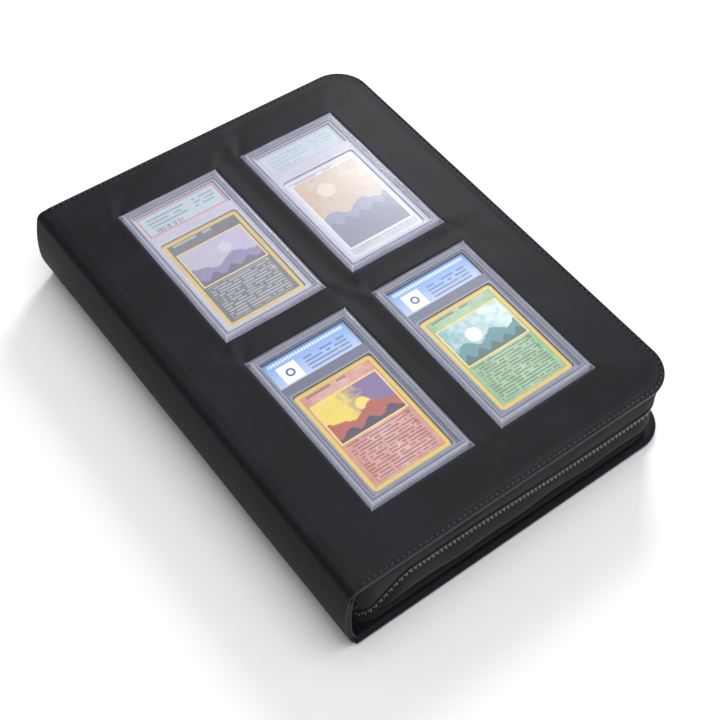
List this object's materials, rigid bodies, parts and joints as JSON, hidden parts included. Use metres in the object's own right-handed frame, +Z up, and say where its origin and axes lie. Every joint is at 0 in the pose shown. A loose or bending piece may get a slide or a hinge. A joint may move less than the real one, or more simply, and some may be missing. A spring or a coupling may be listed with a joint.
{
  "type": "trading card binder",
  "caption": "Zipped padded card binder, closed: clear windows in the front cover show cased cards, and pocket leaves are bound to a flat spine.",
  "frame": {"origin": "on the table, on the back cover's underside, below the middle of the four windows", "axes": "+X from the spine to the opening edge, +Y from the bottom edge to the top edge, +Z up through the front cover"},
  "size_m": [0.2875, 0.38, 0.0715],
  "materials": {
    "leather_black": "fine woven grain, semi-matt",
    "foam_grey": "soft foam sheet",
    "board_grey": "grey board",
    "lining_black": "plain weave",
    "gusset_cloth": "fine ribbed cloth",
    "zip_tape": "herringbone tape",
    "coil_nylon": "moulded nylon coil",
    "zip_metal": "black enamel",
    "window_film": "clear soft film",
    "case_clear": "clear hard plastic",
    "case_frame": "frosted",
    "label_red": "printed paper",
    "label_blue": "printed paper",
    "card_yellow_grey": "printed gloss card",
    "card_white": "printed gloss card",
    "card_red": "printed gloss card",
    "card_green": "printed gloss card",
    "leaf_sheet": "fine pebbled sheet",
    "pocket_film": "clear soft film"
  },
  "bodies": {
    "back_cover": {"back_leather": "leather_black", "back_foam": "foam_grey", "back_board": "board_grey", "back_lining": "lining_black", "gusset_lower": "gusset_cloth", "zip_tape_lower": "zip_tape", "zip_coil_lower": "coil_nylon", "zip_stops": "zip_metal"},
    "spine": {"spine_leather": "leather_black", "spine_board": "board_grey", "spine_lining": "lining_black", "leaf_binding": "gusset_cloth"},
    "front_cover": {"front_leather": "leather_black", "front_foam": "foam_grey", "front_board": "board_grey", "front_lining": "lining_black", "pocket_backs": "lining_black", "gusset_upper": "gusset_cloth", "zip_tape_upper": "zip_tape", "zip_coil_upper": "coil_nylon", "window_film_1": "window_film", "case_1_front_shell": "case_clear", "case_1_back_shell": "case_clear", "case_1_inner_frame": "case_frame", "case_1_label": "label_red", "case_1_card": "card_yellow_grey", "window_film_2": "window_film", "case_2_front_shell": "case_clear", "case_2_back_shell": "case_clear", "case_2_inner_frame": "case_frame", "case_2_label": "label_red", "case_2_card": "card_white", "window_film_3": "window_film", "case_3_front_shell": "case_clear", "case_3_back_shell": "case_clear", "case_3_inner_frame": "case_frame", "case_3_label": "label_blue", "case_3_card": "card_red", "window_film_4": "window_film", "case_4_front_shell": "case_clear", "case_4_back_shell": "case_clear", "case_4_inner_frame": "case_frame", "case_4_label": "label_blue", "case_4_card": "card_green"},
    "leaf_1": {"leaf_1_sheet": "leaf_sheet", "leaf_1_pockets": "pocket_film"},
    "leaf_2": {"leaf_2_sheet": "leaf_sheet", "leaf_2_pockets": "pocket_film"},
    "leaf_3": {"leaf_3_sheet": "leaf_sheet", "leaf_3_pockets": "pocket_film"},
    "leaf_4": {"leaf_4_sheet": "leaf_sheet", "leaf_4_pockets": "pocket_film"},
    "leaf_5": {"leaf_5_sheet": "leaf_sheet", "leaf_5_pockets": "pocket_film"},
    "leaf_6": {"leaf_6_sheet": "leaf_sheet", "leaf_6_pockets": "pocket_film"},
    "zip_slider": {"slider_body": "zip_metal"},
    "zip_pull": {"slider_pull": "zip_metal"}
  },
  "joints": [
    {"name": "spine_fold", "type": "hinge", "parent": "back_cover", "child": "spine", "pos_m": [-0.1395, 0, 0.003], "axis": [0, -1, 0], "range_deg": [0, 86.5]},
    {"name": "cover_open", "type": "hinge", "parent": "spine", "child": "front_cover", "pos_m": [-0.1395, 0, 0.065], "axis": [0, -1, 0], "range_deg": [0, 93.5]},
    {"name": "leaf_1_turn", "type": "hinge", "parent": "spine", "child": "leaf_1", "pos_m": [-0.1323, 0, 0.008], "axis": [0, 1, 0], "range_deg": [0, 86.7]},
    {"name": "leaf_2_turn", "type": "hinge", "parent": "spine", "child": "leaf_2", "pos_m": [-0.1323, 0, 0.0122], "axis": [0, 1, 0], "range_deg": [0, 71.1]},
    {"name": "leaf_3_turn", "type": "hinge", "parent": "spine", "child": "leaf_3", "pos_m": [-0.1323, 0, 0.0164], "axis": [0, 1, 0], "range_deg": [0, 55.6]},
    {"name": "leaf_4_turn", "type": "hinge", "parent": "spine", "child": "leaf_4", "pos_m": [-0.1323, 0, 0.0206], "axis": [0, 1, 0], "range_deg": [0, 40]},
    {"name": "leaf_5_turn", "type": "hinge", "parent": "spine", "child": "leaf_5", "pos_m": [-0.1323, 0, 0.0248], "axis": [0, 1, 0], "range_deg": [0, 24.4]},
    {"name": "leaf_6_turn", "type": "hinge", "parent": "spine", "child": "leaf_6", "pos_m": [-0.1323, 0, 0.029], "axis": [0, 1, 0], "range_deg": [0, 8.8]},
    {"name": "zip_slide", "type": "slide", "parent": "back_cover", "child": "zip_slider", "axis": [1, 0, 0], "range_m": [0, 0.225]},
    {"name": "pull_swing", "type": "hinge", "parent": "zip_slider", "child": "zip_pull", "pos_m": [-0.122, 0.186, 0.038], "axis": [0, 0, 1], "range_deg": [0, 170]}
  ],
  "couplings": [
    {"joint": "leaf_1_turn", "follows": "spine_fold", "ratio": 1},
    {"joint": "leaf_2_turn", "follows": "spine_fold", "ratio": 0.82},
    {"joint": "leaf_3_turn", "follows": "spine_fold", "ratio": 0.64},
    {"joint": "leaf_4_turn", "follows": "spine_fold", "ratio": 0.46},
    {"joint": "leaf_5_turn", "follows": "spine_fold", "ratio": 0.28},
    {"joint": "leaf_6_turn", "follows": "spine_fold", "ratio": 0.1}
  ]
}
